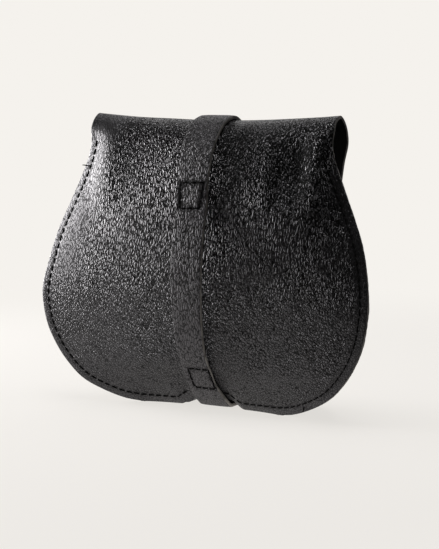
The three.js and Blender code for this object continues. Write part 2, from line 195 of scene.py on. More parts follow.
def leather_piece(name, outer, inner, grain, flesh, edge, roundness=0.3 * MM, ragged=0.0, seed=1):
    """A closed piece of leather between two grids, with its cut edge rounded over."""
    rows, columns = outer.shape[:2]
    loop = rim_loop(rows, columns)
    i, j = loop.T
    within = np.clip(i, 1, rows - 2), np.clip(j, 1, columns - 2)
    away = unit(outer[i, j] - outer[within])
    rng = np.random.default_rng(seed)
    rings = []
    for share in (0.2, 0.5, 0.8):  # of the thickness, from the outer face in
        bulge = roundness * math.sin(math.pi * share) + ragged * rng.uniform(-1, 1, len(loop))
        rings.append(mixed(outer[i, j], inner[i, j], share) + away * bulge[:, None])
    points = np.concatenate([outer.reshape(-1, 3), inner.reshape(-1, 3), *rings])

    size = rows * columns
    index = np.arange(size).reshape(rows, columns)
    a, b, c, d = (q.ravel() for q in
                  (index[:-1, :-1], index[:-1, 1:], index[1:, 1:], index[1:, :-1]))
    faces = [np.stack([a, b, c, d], 1), size + np.stack([a, d, c, b], 1)]
    around = [index[i, j]]
    around += [2 * size + k * len(loop) + np.arange(len(loop)) for k in range(len(rings))]
    around += [size + index[i, j]]
    for near, far in zip(around, around[1:]):
        faces.append(np.stack([near, far, np.roll(far, -1), np.roll(near, -1)], 1))

    mesh = bpy.data.meshes.new(name)
    mesh.from_pydata(points.tolist(), [], np.concatenate(faces).tolist())
    for material in (grain, flesh, edge):
        mesh.materials.append(material)
    slots = np.zeros(len(mesh.polygons), np.int32)
    slots[len(a):] = 1
    slots[2 * len(a):] = 2
    mesh.polygons.foreach_set("material_index", slots)
    mesh.shade_smooth()
    return add_piece(name, mesh)


def add_piece(name, mesh):
    """The mesh as a piece that rides on the pouch's one body."""
    piece = bpy.data.objects.new(name, mesh)
    bpy.context.scene.collection.objects.link(piece)
    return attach(piece, "root")


def distances(points, line):
    """Distance of each point to the nearest of the line's points, and that point's number."""
    found, nearest = [], []
    for part in np.array_split(points.reshape(-1, 3), 64):  # in parts, to spare memory
        d = np.linalg.norm(part[:, None] - line[None], axis=-1)
        nearest.append(d.argmin(1))
        found.append(d.min(1))
    shape = points.shape[:-1]
    return np.concatenate(found).reshape(shape), np.concatenate(nearest).reshape(shape)


def lengths_along(line):
    """Length of a line of points, from its start to each of them."""
    return np.concatenate([[0], np.cumsum(np.linalg.norm(np.diff(line, axis=0), axis=1))])


def place_behind(x, z):
    """Row and side fraction of the back's point at a place (x, z)."""
    low, high = np.zeros_like(x), np.full_like(x, RIDGE - 1.0)
    for _ in range(32):  # halvings of the span of rows
        row = (low + high) / 2
        below = body_points(row, x / smooth(BODY, row)[..., 0])[..., 2] < z
        low, high = np.where(below, row, low), np.where(below, high, row)
    return low, x / smooth(BODY, low)[..., 0]


SEAM_COUNT = 401  # points along the seam
HEM_STEPS, SIDE_STEPS = 120, 600  # points that the edge is first traced with, half way round
CORNER_REACH = 12  # points each way over which the row of stitches rounds its corners


def edge_places(top_height):
    """Rows and side fractions round the back's cut edge, from a height down and up again."""
    up = np.linspace(0, RIDGE - 1, SIDE_STEPS)
    top = np.interp(top_height, body_points(up, np.ones_like(up))[:, 2], up)
    hem_sides = np.linspace(0, 1, HEM_STEPS)[:-1]
    rows = np.concatenate([np.zeros_like(hem_sides), np.linspace(0, top, SIDE_STEPS)])
    sides = np.concatenate([hem_sides, np.ones(SIDE_STEPS)])
    rows = np.concatenate([rows[:0:-1], rows])
    sides = np.concatenate([sides[:0:-1], -sides])
    along = lengths_along(body_points(rows, sides))
    at = np.linspace(0, along[-1], SEAM_COUNT)
    return np.interp(at, along, rows), np.interp(at, along, sides)


def rounded_tangents(line, reach):
    """Unit directions along a line in X and Z, evened out over some points each way."""
    step = np.gradient(line[:, [0, 2]], axis=0)
    padded = np.pad(step, ((reach, reach), (0, 0)), mode="edge")
    window = np.hanning(2 * reach + 3)[1:-1]
    return unit(np.stack([np.convolve(padded[:, k], window, "valid") for k in (0, 1)], 1))


def stitch_places(edge):
    """Rows and side fractions of the row of stitches that runs inside a cut edge."""
    along = rounded_tangents(edge, CORNER_REACH)
    x = edge[:, 0] + along[:, 1] * STITCH_INSET
    z = edge[:, 2] - along[:, 0] * STITCH_INSET
    return place_behind(x, z)


def body_normals(rows, sides):
    """Unit normals of the back's outer face, out of the pouch."""
    step = 0.02  # of a row, and of the half width
    across = body_points(rows, sides + step) - body_points(rows, sides - step)
    up = body_points(rows + step, sides) - body_points(np.maximum(rows - step, 0), sides)
    return unit(np.cross(across, up))


# The seam, as far up as the front panel goes, and the whole row of stitches in the back.
seam_places = edge_places(SEAM_TOP)
seam_edge = body_points(*seam_places)
seam_stitch_places = stitch_places(seam_edge)
row_places = stitch_places(body_points(*edge_places(ROW_TOP)))
row_line, row_outward = body_points(*row_places), body_normals(*row_places)
STITCH_PITCH = 4.0 * MM


def pressed_by_stitches(points, line, depth=0.32 * MM, reach=1.0 * MM):
    """Depth of the groove that a row of stitches pulls into the leather, deepest at its holes."""
    d, nearest = distances(points, line)
    at_hole = 0.5 + 0.5 * np.cos(2 * math.pi * lengths_along(line)[nearest] / STITCH_PITCH)
    return depth * (0.65 + 0.55 * at_hole) * np.exp(-(d / reach)**2)


def socket(shader, name, value):
    """Sets one of a shader's own inputs."""
    shader.inputs[name].default_value = value


def new_material(name):
    """An empty node material with its surface shader, and a function that adds a node to it."""
    material = bpy.data.materials.new(name)
    material.use_nodes = True
    tree = material.node_tree
    shader = tree.nodes["Principled BSDF"]

    def node(kind, inputs=None, **settings):
        made = tree.nodes.new("ShaderNode" + kind)
        for key, value in settings.items():
            setattr(made, key, value)
        for key, value in (inputs or {}).items():
            if isinstance(value, bpy.types.NodeSocket):
                tree.links.new(value, made.inputs[key])
            else:
                made.inputs[key].default_value = value
        return made

    return material, shader, node


def remapped(node, value, from_low, from_high, to_low, to_high):
    """A value carried over from one range to another, softly and within bounds."""
    return node("MapRange", {0: value, 1: from_low, 2: from_high, 3: to_low, 4: to_high},
                interpolation_type="SMOOTHSTEP").outputs[0]


def tinted(node, share, first, second):
    """A colour between two, by a share."""
    mix = node("MixRGB", {0: share, 1: first, 2: second})
    return mix.outputs[0]


# Heights between which the grain's relief grows: from the foot up, and once more below the fold.
GRAIN_FOOT, GRAIN_FULL = 12 * MM, 80 * MM
GRAIN_UPPER, GRAIN_FOLD = 90 * MM, 120 * MM


def grained_leather(name, pebble, relief, pull, above, black, crease, deep, shine, low_flat):
    """Full-grain leather: pebbles with creases between them, flatter where it is stretched.

    pebble: size of one. relief: depth of a crease. pull: share by which the pebbles are drawn
    out upwards, from the height above. black: colour of a pebble. crease: darker colour put into
    a crease as painted shade. deep: share of the reflection left in a crease, dimmed as painted
    shade. shine: roughness of the pebbles' tops. low_flat: share of the relief, and of the painted
    crease shade, that is left at the foot, where the leather is stretched.
    """
    material, shader, node = new_material(name)
    links = material.node_tree.links
    place = node("TexCoord").outputs["Object"]

    def math_of(kind, first, second, third=None):
        values = {0: first, 1: second} if third is None else {0: first, 1: second, 2: third}
        return node("Math", values, operation=kind).outputs[0]

    def noise(scale, detail, roughness=0.5):
        return node("TexNoise", {"Vector": place, "Scale": scale, "Detail": detail,
                                 "Roughness": roughness})

    # The pattern drifts a little to and fro, and is drawn out upwards above a height.
    drift = node("VectorMath", {0: noise(0.45 / pebble, 3.0).outputs["Color"],
                                1: (0.5, 0.5, 0.5)}, operation="SUBTRACT")
    drift = node("VectorMath", {0: drift.outputs[0], "Scale": 1.3 * pebble}, operation="SCALE")
    warped = node("VectorMath", {0: place, 1: drift.outputs[0]}, operation="ADD").outputs[0]
    height = node("SeparateXYZ", {0: place}).outputs["Z"]
    over = math_of("SMOOTH_MAX", math_of("SUBTRACT", height, above), 0.0, 0.04)
    drawn = node("CombineXYZ", {2: math_of("MULTIPLY", over, -pull)}).outputs[0]
    warped = node("VectorMath", {0: warped, 1: drawn}, operation="ADD").outputs[0]
    # Creases round every pebble, shallower wrinkles round groups of them, and a fine noise.
    gap = node("TexVoronoi", {"Vector": warped, "Scale": 1 / pebble},
               feature="DISTANCE_TO_EDGE").outputs["Distance"]
    groups = node("TexVoronoi", {"Vector": warped, "Scale": 0.37 / pebble},
                  feature="DISTANCE_TO_EDGE").outputs["Distance"]
    pebbles = remapped(node, gap, 0.0, 0.32, -1.0, 0.0)
    wrinkles = remapped(node, groups, 0.0, 0.1, -0.4, 0.0)
    grain = math_of("ADD", pebbles, wrinkles)
    grain = math_of("MULTIPLY_ADD", noise(1.9 / pebble, 3.0, 0.6).outputs["Fac"], 0.08, grain)
    # The relief grows with the height. It is uneven everywhere, and less where pressed flat.
    stretched = remapped(node, height, GRAIN_FOOT, GRAIN_FULL, low_flat, 1.0)
    more = remapped(node, height, GRAIN_UPPER, GRAIN_FOLD, 0.0, 0.35)
    stretched = math_of("ADD", stretched, more)
    slack = noise(55.0, 2.0).outputs["Fac"]
    strength = math_of("MULTIPLY", stretched, remapped(node, slack, 0.3, 0.7, 0.75, 1.2))
    flat = node("Attribute", attribute_name="pressed").outputs["Fac"]
    strength = math_of("MULTIPLY", strength, math_of("SUBTRACT", 1.0, flat))
    bump = node("Bump", {"Height": math_of("MULTIPLY", grain, strength), "Strength": 1.0,
                         "Distance": relief})
    links.new(bump.outputs[0], shader.inputs["Normal"])
    # An open crease gets painted shade: a darker colour and a dimmed reflection. It is also
    # rougher than a pebble's top.
    top = remapped(node, gap, 0.0, 0.18, 0.0, 1.0)
    links.new(tinted(node, top, crease, black), shader.inputs["Base Color"])
    # Share of painted crease shade: full in an open crease, less where the relief is weaker.
    painted_crease_shade_share = math_of("MULTIPLY", math_of("SUBTRACT", 1.0, top), strength)
    painted_crease_shade_tint = tinted(node, painted_crease_shade_share, (0.97, 0.95, 1, 1), (deep, deep, deep, 1))
    links.new(painted_crease_shade_tint, shader.inputs["Specular Tint"])
    rough = remapped(node, top, 0.0, 0.8, min(shine + 0.4, 1.0), shine)
    calm = math_of("ADD", flat, math_of("SUBTRACT", 1.0, stretched))
    rough = math_of("MULTIPLY_ADD", calm, 0.17, rough)
    links.new(rough, shader.inputs["Roughness"])
    socket(shader, "Specular IOR Level", 1.0)
    return material


def bare_leather(name, colour, pale, fibre, relief):
    """Cut edge or flesh side: matt, with short fibres and uneven dye."""
    material, shader, node = new_material(name)
    links = material.node_tree.links
    place = node("TexCoord").outputs["Object"]
    nap = node("TexNoise", {"Vector": place, "Scale": 1 / fibre, "Detail": 4.0,
                            "Roughness": 0.7}).outputs["Fac"]
    patches = node("TexNoise", {"Vector": place, "Scale": 160.0, "Detail": 3.0})
    share = remapped(node, patches.outputs["Fac"], 0.35, 0.7, 0.0, 1.0)
    links.new(tinted(node, share, colour, pale), shader.inputs["Base Color"])
    bump = node("Bump", {"Height": nap, "Strength": 1.0, "Distance": relief})
    links.new(bump.outputs[0], shader.inputs["Normal"])
    socket(shader, "Roughness", 0.9)
    socket(shader, "Specular IOR Level", 0.2)
    return material


# crease and deep paint shade into the creases between the pebbles.
pebbled = grained_leather("pebbled_black_leather", pebble=1.2 * MM, relief=0.26 * MM,
                          pull=0.66, above=0.06, black=(0.005, 0.0048, 0.005, 1),
                          crease=(0.001, 0.001, 0.001, 1), deep=0.03,
                          shine=0.3, low_flat=0.8)
flesh_side = bare_leather("dyed_flesh_side", (0.005, 0.005, 0.005, 1), (0.011, 0.0105, 0.01, 1),
                          fibre=0.5 * MM, relief=0.2 * MM)
# The raw cut edge's own warm grey, made paler still as a painted highlight where the edge catches
# the light.
edge_tone_and_painted_highlight = bare_leather("cut_edge_tone_and_painted_highlight", (0.10, 0.096, 0.092, 1), (0.28, 0.265, 0.25, 1),
                        fibre=0.35 * MM, relief=0.15 * MM)


def mark_pressed(piece, flatness):
    """Stores how far the grain of the outer face is pressed flat, for the leather's material."""
    values = np.zeros(len(piece.data.vertices), np.float32)
    values[:flatness.size] = np.clip(flatness, 0, 1).ravel()
    piece.data.attributes.new("pressed", "FLOAT", "POINT").data.foreach_set("value", values)


WAVE_HEIGHT = 0.35 * MM
SEAM_BAND = (7.5 * MM, 4.0 * MM)  # from the edge in: the seam presses the grain flat within it

# Rows are closest at the hem, where the seam is, and over the fold.
body_rows = np.concatenate([
    np.linspace(0, 3, 44, endpoint=False),
    np.linspace(3, 13, 112, endpoint=False),
    np.linspace(13, 20, 52, endpoint=False),
    np.linspace(20, FLAP_EDGE, 56),
])
body_sides = spread(148, crowding=0.45)
rows_grid, sides_grid = np.meshgrid(body_rows, body_sides, indexing="ij")
body_outer = body_points(rows_grid, sides_grid)
body_normal = grid_normals(body_outer)
edge_gap, _ = distances(body_outer, seam_edge)
ripple = waves(body_outer, 30 * MM, seed=3) * ramp(0, 20 * MM, edge_gap) * WAVE_HEIGHT
body_outer = body_outer + body_normal * ripple[..., None]
body_inner = body_outer - body_normal * LEATHER
body_outer = body_outer - body_normal * pressed_by_stitches(body_outer, row_line)[..., None]

back_and_flap = leather_piece("pouch_back_and_flap", body_outer, body_inner,
                              pebbled, flesh_side, edge_tone_and_painted_highlight, ragged=0.08 * MM)
# The grain is pressed flat along the seam, and pulled smooth: much of it high on the left side,
# and a little of it low on the left.
flattened = 0.55 * ramp(*SEAM_BAND, edge_gap) * (rows_grid < WAIST)
heights = body_outer[..., 2]
high_left = 0.8 * ramp(-0.6, -0.86, sides_grid) * ramp(40 * MM, 75 * MM, heights)
low_left = 0.2 * ramp(-0.1, -0.5, sides_grid) * ramp(75 * MM, 35 * MM, heights)
pulled = np.maximum(high_left, low_left) * (rows_grid < RIDGE)
mark_pressed(back_and_flap, np.maximum(flattened, pulled))
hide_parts("back_and_flap")

# ---- Front panel -----------------------------------------------------------------------------
# The bulged front and base, of the same leather. It lies flesh side in against the back along the
# seam, turns forward inside the stitches, and rests on the table with its base pressed flat.

TOUCHING = 0.06 * MM  # between two leathers that are sewn together
# The panel on its centre line, from the seam forward under the pouch and up to the mouth. turn:
# degrees that the same ring has come round at the side seams.
FRONT = np.array([
    # turn, y, z
    (6, -3.2, 8.2),  # over the seam
    (13, 0.0, 7.4),  # over the hem
    (20, 3.6, 3.2),  # down to rest
    (27, 7.4, 0.0),  # rest back
    (39, 18.6, 0.0),  # rest front
    (47, 24.0, 4.0),  # toe
    (54, 26.8, 12.0),  # toe rise
    (60, 28.3, 26.0),  # front low
    (66, 28.3, 42.0),  # front belly
    (73, 26.2, 62.0),  # front middle
    (81, 21.8, 88.0),  # front high
    (90, 14.6, 118.0),  # mouth
]) * np.array([1, MM, MM])
MOUTH_DEPTH = FRONT[-1, 1]
# Rows of the table above: where the base leaves the table, and where the panel ends, a hair short
# of the last row.
REST_END, MOUTH_ROW = 4, 10.97
# The strap lies in a channel under the base. Beyond it, the base rests on the table over a half
# width that ends in a soft shoulder.
CHANNEL, CHANNEL_HALF, CHANNEL_SHOULDER = 2.4 * MM, 12.0 * MM, 5.5 * MM
REST_HALF, REST_SHOULDER = 34.0 * MM, 18.0 * MM


def front_points(seam, foot, row):
    """Outer face of the panel at fractional rows of FRONT, from each point of the seam line.

    Low and near the middle it follows the Y and Z of FRONT. Up the sides it turns forward from
    the seam. The share says how far a point follows FRONT, and it grows as the panel turns.
    """
    turn_degrees, front_y, front_z = np.moveaxis(smooth(FRONT, row), -1, 0)
    turn = np.radians(turn_degrees)
    x, y, z = np.moveaxis(seam, -1, 0)
    y = y - FRAME_Y
    down = (SEAM_TOP - z)**2
    start = mixed(0.45, 0.1, ramp(45, 75, turn_degrees))
    share = ramp(start, 0.95, down / (down + x**2))
    inset = mixed(1 - np.cos(turn), (front_z - foot[2]) / (SEAM_TOP - foot[2]), share)
    side_y = mixed(y, MOUTH_DEPTH, np.sin(turn))
    base_y = front_y + (y - (foot[1] - FRAME_Y)) * (1 - np.sin(turn))
    narrowing = np.maximum(inset, 0)
    sag = np.minimum(inset, 0) * ramp(REST_HALF + REST_SHOULDER, REST_HALF, abs(x))
    x = x * (1 - narrowing)
    held = CHANNEL * ramp(CHANNEL_HALF + CHANNEL_SHOULDER, CHANNEL_HALF, abs(x))
    z = np.maximum(mixed(z, SEAM_TOP, narrowing + sag), held)
    return np.stack([x, mixed(side_y, base_y, share) + FRAME_Y, z], -1)


def inside_the_back(rows, sides, distance):
    """Points that far inside the back's outer face, and no lower than the table."""
    points = body_points(rows, sides) - body_normals(rows, sides) * distance
    points[..., 2] = np.maximum(points[..., 2], 0)
    return points


front_offset = 2 * LEATHER + TOUCHING
front_edge = inside_the_back(*seam_places, front_offset)
front_seam = inside_the_back(*seam_stitch_places, front_offset)
foot = front_seam[SEAM_COUNT // 2]
allowance_shares = np.linspace(0, 1, 8, endpoint=False)[None, :, None]
allowance = mixed(front_edge[:, None], front_seam[:, None], allowance_shares)
ring_rows = np.concatenate([np.linspace(0, REST_END, 40, endpoint=False),
                            np.linspace(REST_END, MOUTH_ROW, 70)])
rings = front_points(front_seam[:, None], foot, np.tile(ring_rows, (SEAM_COUNT, 1)))
front_outer = np.concatenate([allowance, front_seam[:, None], rings], axis=1)[::-1]
front_normal = grid_normals(front_outer)
front_inner = front_outer - front_normal * LEATHER
front_gap, _ = distances(front_outer, seam_edge)
calm = ramp(8 * MM, 24 * MM, front_gap) * ramp(3 * MM, 14 * MM, front_outer[..., 2])
ripple = waves(front_outer, 26 * MM, seed=5) * calm * WAVE_HEIGHT
front_outer = front_outer + front_normal * ripple[..., None]
front_outer = front_outer - front_normal * pressed_by_stitches(front_outer, front_seam)[..., None]
for face in (front_outer, front_inner):  # neither goes below the table
    face[..., 2] = np.maximum(face[..., 2], 0)
front_panel = leather_piece("pouch_front_panel", front_outer, front_inner,
                            pebbled, flesh_side, edge_tone_and_painted_highlight, ragged=0.08 * MM, seed=2)
mark_pressed(front_panel, 0.5 * ramp(*SEAM_BAND, front_gap))
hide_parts("front_panel")

# ---- Strap -----------------------------------------------------------------------------------
# One strap of smoother leather, cut 18 mm wide and drawn narrower down the back. It hangs on the
# flap, goes over the fold, down the wearer's side and round the base, and up into the keeper. Two
# stitched squares hold it to the back, and it is free between them as the belt loop.

STRAP_LEATHER = 1.8 * MM
# The outer face on the plane X = 0, with the strap's half width.
STRAP = MM * np.array([
    # half, y, z
    (8.2, 35.4, 36.0),  # hanging tip
    (8.2, 36.3, 49.0),  # keeper foot
    (8.2, 36.3, 60.0),  # keeper head
    (8.2, 33.9, 71.0),  # over the tucked tip
    (8.4, 30.0, 80.0),  # flap low
    (8.6, 26.6, 90.5),  # flap middle
    (8.8, 22.6, 107.0),  # flap high
    (9.0, 20.2, 120.0),  # flap top
    (9.0, 18.8, 131.0),  # fold front
    (8.8, 15.0, 139.5),  # fold fall
    (8.7, 10.1, 144.0),  # fold top front
    (8.7, 4.2, 145.9),  # fold top
    (8.8, -1.8, 145.3),  # fold top back
    (8.9, -8.3, 142.8),  # fold rise
    (8.8, -14.2, 137.6),  # fold back
    (8.6, -18.6, 131.6),  # waist
    (8.4, -21.9, 124.2),  # waist low
    (8.2, -24.2, 115.0),  # upper square top
    (8.1, -25.5, 102.0),  # upper square foot
    (8.2, -28.6, 92.0),  # loop top
    (8.3, -30.6, 80.0),  # loop high
    (8.2, -31.4, 65.0),  # loop middle
    (7.8, -30.4, 49.0),  # loop low
    (7.4, -27.6, 35.5),  # loop foot
    (7.3, -24.0, 26.8),  # lower square top
    (7.5, -15.9, 14.4),  # lower square foot
    (8.2, -9.9, 8.0),  # round the hem
    (8.4, -3.3, 2.6),  # hem
    (8.4, 1.6, 0.0),  # under hem
    (8.3, 10.0, 0.0),  # under base
    (8.2, 19.4, 0.0),  # under toe
    (8.2, 25.4, 1.2),  # toe
    (8.2, 29.2, 8.6),  # toe rise
    (8.2, 30.6, 22.0),  # base front
    (8.2, 32.2, 33.0),  # below the flap
    (8.2, 33.6, 42.0),  # onto the flap
    (8.2, 34.2, 50.0),  # in the keeper foot
    (8.2, 34.2, 59.0),  # in the keeper head
    (8.2, 31.9, 68.0),  # tucked tip
])
WEARER_SIDE = (14.0, 27.0)  # rows of the table that lie on the wearer's side
# Stitched squares: their corners (x, z) round from the lower left, sewn by eye and not quite true.
SQUARES = {
    "upper": MM * np.array([(-6.7, 101.5), (4.4, 101.9), (6.2, 114.4), (-6.3, 113.8)]),
    "lower": MM * np.array([(-4.6, 11.6), (7.0, 11.3), (7.0, 22.0), (-4.4, 22.1)]),
}

CROWN = 0.22 * MM  # how much the strap's middle stands above its edges

strap_rows = np.linspace(len(STRAP) - 1, 0, 460)  # from the tucked tip, so normals face out
strap_line = smooth(STRAP, strap_rows)
strap_across = spread(25, crowding=0.4)
crown = CROWN * (1 - strap_across**4)
strap_outer = np.zeros((len(strap_rows), len(strap_across), 3))
strap_outer[..., 0] = strap_line[:, :1] * strap_across
strap_outer[..., 1] = strap_line[:, 1:2] + FRAME_Y
strap_outer[..., 2] = np.maximum(strap_line[:, 2:3], 0)
strap_normal = grid_normals(strap_outer)
strap_inner = strap_outer - strap_normal * STRAP_LEATHER


def on_strap(x, height):
    """Place and outward normal of the wearer's side of the strap, at X and a height."""
    rows = np.linspace(*WEARER_SIDE, 400)
    line = smooth(STRAP, rows)
    at = np.interp(height, line[::-1, 2], rows[::-1])
    _, y, z = np.moveaxis(smooth(STRAP, at), -1, 0)
    step = 0.05  # of a row
    ahead = smooth(STRAP, at + step) - smooth(STRAP, at - step)
    normal = unit(np.stack([0 * y, ahead[..., 2], -ahead[..., 1]], -1))
    return np.stack([x, y + FRAME_Y, z], -1), normal


def square_sides(corners, step=0.35 * MM):
    """The four sides of a stitched square on the strap, each a line of places and normals."""
    sides = []
    for start, end in zip(corners, np.roll(corners, -1, axis=0)):
        count = int(np.linalg.norm(end - start) / step)
        x, height = mixed(start, end, np.linspace(0, 1, count)[:, None]).T
        sides.append(on_strap(x, height))
    return sides


square_lines = {name: square_sides(corners) for name, corners in SQUARES.items()}
sunk = sum(pressed_by_stitches(strap_outer, np.concatenate([line for line, _ in sides]),
                               depth=0.75 * MM, reach=0.95 * MM)
           for sides in square_lines.values())
strap_outer = strap_outer + strap_normal * (crown - sunk)[..., None]
# crease and deep paint shade into the strap's creases.
smoother = grained_leather("smooth_black_strap", pebble=1.1 * MM, relief=0.19 * MM,
                           pull=0.7, above=-0.01, black=(0.034, 0.031, 0.034, 1),
                           crease=(0.008, 0.008, 0.008, 1), deep=0.3,
                           shine=0.46, low_flat=0.6)
strap = leather_piece("pouch_strap", strap_outer, strap_inner,
                      smoother, flesh_side, edge_tone_and_painted_highlight, roundness=0.35 * MM, ragged=0.05 * MM, seed=3)
mark_pressed(strap, np.zeros(strap_outer.shape[:2]))
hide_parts("strap")

# ---- Keeper ----------------------------------------------------------------------------------
# A loop of the strap's leather, split thinner, round both ends of the strap and low on the flap.
# It is bent wet round the strap, so its corners are round.

keeper_low, keeper_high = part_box("keeper")
KEEPER_LEATHER, KEEPER_CORNER = 1.3 * MM, 1.6 * MM  # thickness, and outer radius of a corner
KEEPER_EDGE = 0.3 * MM  # radius to which the strip's edges are rounded
RING_STEPS = 24  # round the loop's four corners, and round the strip's section


def keeper_ring(distance):
    """Points of the loop seen from above, that far inside its outer face."""
    radius = KEEPER_CORNER - distance
    quarter = np.linspace(0, math.pi / 2, RING_STEPS // 4 + 1)
    half_x = (keeper_high.x - keeper_low.x) / 2 - distance - radius
    half_y = (keeper_high.y - keeper_low.y) / 2 - distance - radius
    middle_y = (keeper_high.y + keeper_low.y) / 2
    points = []
    for k, (sx, sy) in enumerate([(1, 1), (-1, 1), (-1, -1), (1, -1)]):
        for angle in quarter + k * math.pi / 2:
            points.append((sx * half_x + radius * math.cos(angle),
                           middle_y + sy * half_y + radius * math.sin(angle)))
    return np.array(points)


def keeper_mesh():
    """A rounded strip of leather bent round into a closed loop."""
    height = keeper_high.z - keeper_low.z
    section = []  # distance inside the outer face, and height, once round the strip
    squareness = 1.6  # above 1, so that the circle fills out to a strip with flat sides
    for k in range(RING_STEPS):
        angle = 2 * math.pi * k / RING_STEPS
        across = np.clip(squareness * math.cos(angle), -1, 1) * (KEEPER_LEATHER / 2 - KEEPER_EDGE)
        along = np.clip(squareness * math.sin(angle), -1, 1) * (height / 2 - KEEPER_EDGE)
        section.append((KEEPER_LEATHER / 2 - across - KEEPER_EDGE * math.cos(angle),
                        along + KEEPER_EDGE * math.sin(angle)))
    rings = np.array([[(*p, (keeper_low.z + keeper_high.z) / 2 + up) for p in keeper_ring(inside)]
                      for inside, up in section])
    around, steps = rings.shape[:2]
    index = np.arange(around * steps).reshape(around, steps)
    right, up = np.roll(index, -1, axis=1), np.roll(index, -1, axis=0)
    both = np.roll(up, -1, axis=1)
    faces = np.stack([index, right, both, up], -1).reshape(-1, 4)
    mesh = bpy.data.meshes.new("pouch_keeper")
    mesh.from_pydata(rings.reshape(-1, 3).tolist(), [], faces.tolist())
    mesh.materials.append(smoother)
    mesh.shade_smooth()
    return mesh


keeper = add_piece("pouch_keeper", keeper_mesh())
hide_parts("keeper")

# ---- Thread ----------------------------------------------------------------------------------
# Waxed black thread, saddle stitched by hand: one row round the seam, seen on both faces, and the
# two squares that hold the strap. Each stitch lies proud between its holes and dives into them.

THREAD = 0.7 * MM  # diameter
SEAM_SINK, SQUARE_SINK = 0.22 * MM, 0.12 * MM  # depth of the stitches' middle line in the leather
# The cut ends that show, with the way they point and their length: one wrapped over the left
# edge, one short at the foot of the right side, and one beside the upper square.
SEAM_ENDS = [
    # x, z, way, length
    (-67.9 * MM, 119.9 * MM, (-1.0, -0.3, 0.12), 3.4 * MM),
    (54.6 * MM, 6.6 * MM, (0.15, -0.5, -1.0), 2.4 * MM),
]
SQUARE_END = (4.9 * MM, 106.9 * MM, (1.0, -0.25, 0.1), 2.2 * MM)

thread_black, thread_shader, thread_node = new_material("waxed_black_thread")
thread_place = thread_node("TexCoord").outputs["Object"]
strands = thread_node("TexNoise", {"Vector": thread_place, "Scale": 3200.0, "Detail": 2.0})
strand_bump = thread_node("Bump", {"Height": strands.outputs["Fac"], "Strength": 0.8,
                                   "Distance": 0.1 * MM})
thread_black.node_tree.links.new(strand_bump.outputs[0], thread_shader.inputs["Normal"])
socket(thread_shader, "Base Color", (0.003, 0.003, 0.003, 1))
socket(thread_shader, "Roughness", 0.7)
socket(thread_shader, "Specular IOR Level", 0.1)


def tube(points, radii, sides=8):
    """Rings of points round a line, and the faces that close them into a tube."""
    along = unit(np.gradient(points, axis=0))
    helper = np.where(abs(along[:, 2:]) > 0.8, (1.0, 0, 0), (0, 0, 1.0))
    across = unit(np.cross(along, helper))
    up = np.cross(across, along)
    angles = np.arange(sides) * 2 * math.pi / sides
    circle = (across[:, None] * np.cos(angles)[:, None] + up[:, None] * np.sin(angles)[:, None])
    rings = points[:, None] + circle * np.asarray(radii)[:, None, None]
    index = np.arange(len(points) * sides).reshape(-1, sides)
    ahead = np.roll(index, -1, axis=1)
    faces = np.stack([index[:-1], index[1:], ahead[1:], ahead[:-1]], -1).reshape(-1, 4).tolist()
    faces += [index[0].tolist(), index[-1, ::-1].tolist()]
    return rings.reshape(-1, 3), faces


def joined_tubes(name, tubes, material):
    """Many small tubes as one piece."""
    points, faces, start = [], [], 0
    for tube_points, tube_faces in tubes:
        points.append(tube_points)
        faces += [[start + k for k in face] for face in tube_faces]
        start += len(tube_points)
    mesh = bpy.data.meshes.new(name)
    mesh.from_pydata(np.concatenate(points).tolist(), [], faces)
    mesh.materials.append(material)
    mesh.shade_smooth()
    return add_piece(name, mesh)


def stitch(start, end, outward, slant):
    """One stitch from hole to hole, proud in the middle and down in the leather at its ends."""
    t = np.linspace(-1, 1, 9)
    side = unit(np.cross(outward, end - start))
    line = mixed(start, end, (0.5 + 0.5 * t)[:, None]) + side * (slant * t)[:, None]
    rise = THREAD * (0.3 - 1.1 * abs(t)**6)
    radii = THREAD / 2 * np.clip(1.25 - 0.55 * abs(t)**6, 0.3, 1)
    return tube(line + outward * rise[:, None], radii)


def under_strap(place):
    """True where the strap lies over the seam and hides its stitches."""
    half_width, height = 8.8 * MM, 20 * MM
    return abs(place[0]) < half_width and place[2] < height


def stitch_row(line, outward, rng, hidden=None):
    """Stitches along a line, with a little of the hand's unevenness, but none where hidden."""
    along = lengths_along(line)
    count = max(int(round(along[-1] / STITCH_PITCH)), 1)
    holes = np.linspace(0, along[-1], count + 1)

    def at(values, distance):
        return np.array([np.interp(distance, along, values[:, k]) for k in range(3)])

    made = []
    for first, second in zip(holes, holes[1:]):
        gap = 0.09 * (second - first)  # from the hole's middle to where the stitch comes out of it
        start, end = at(line, first + gap), at(line, second - gap)
        if hidden is None or not hidden(start):
            normal = unit(at(outward, (first + second) / 2))
            slant = rng.normal(0.13, 0.05) * MM
            made.append(stitch(start, end, normal, slant))
    return made


def loose_end(start, way, length, seed):
    """The cut end of a thread: it comes out of its hole and curls a little."""
    rng = np.random.default_rng(seed)
    t = np.linspace(0, 1, 10)[:, None]
    curl = unit(np.cross(way, rng.normal(size=3)))
    line = start + unit(np.array(way, float)) * t * length + curl * np.sin(3 * t) * 0.16 * length
    return tube(line, THREAD / 2 * np.linspace(1.1, 0.6, 10))


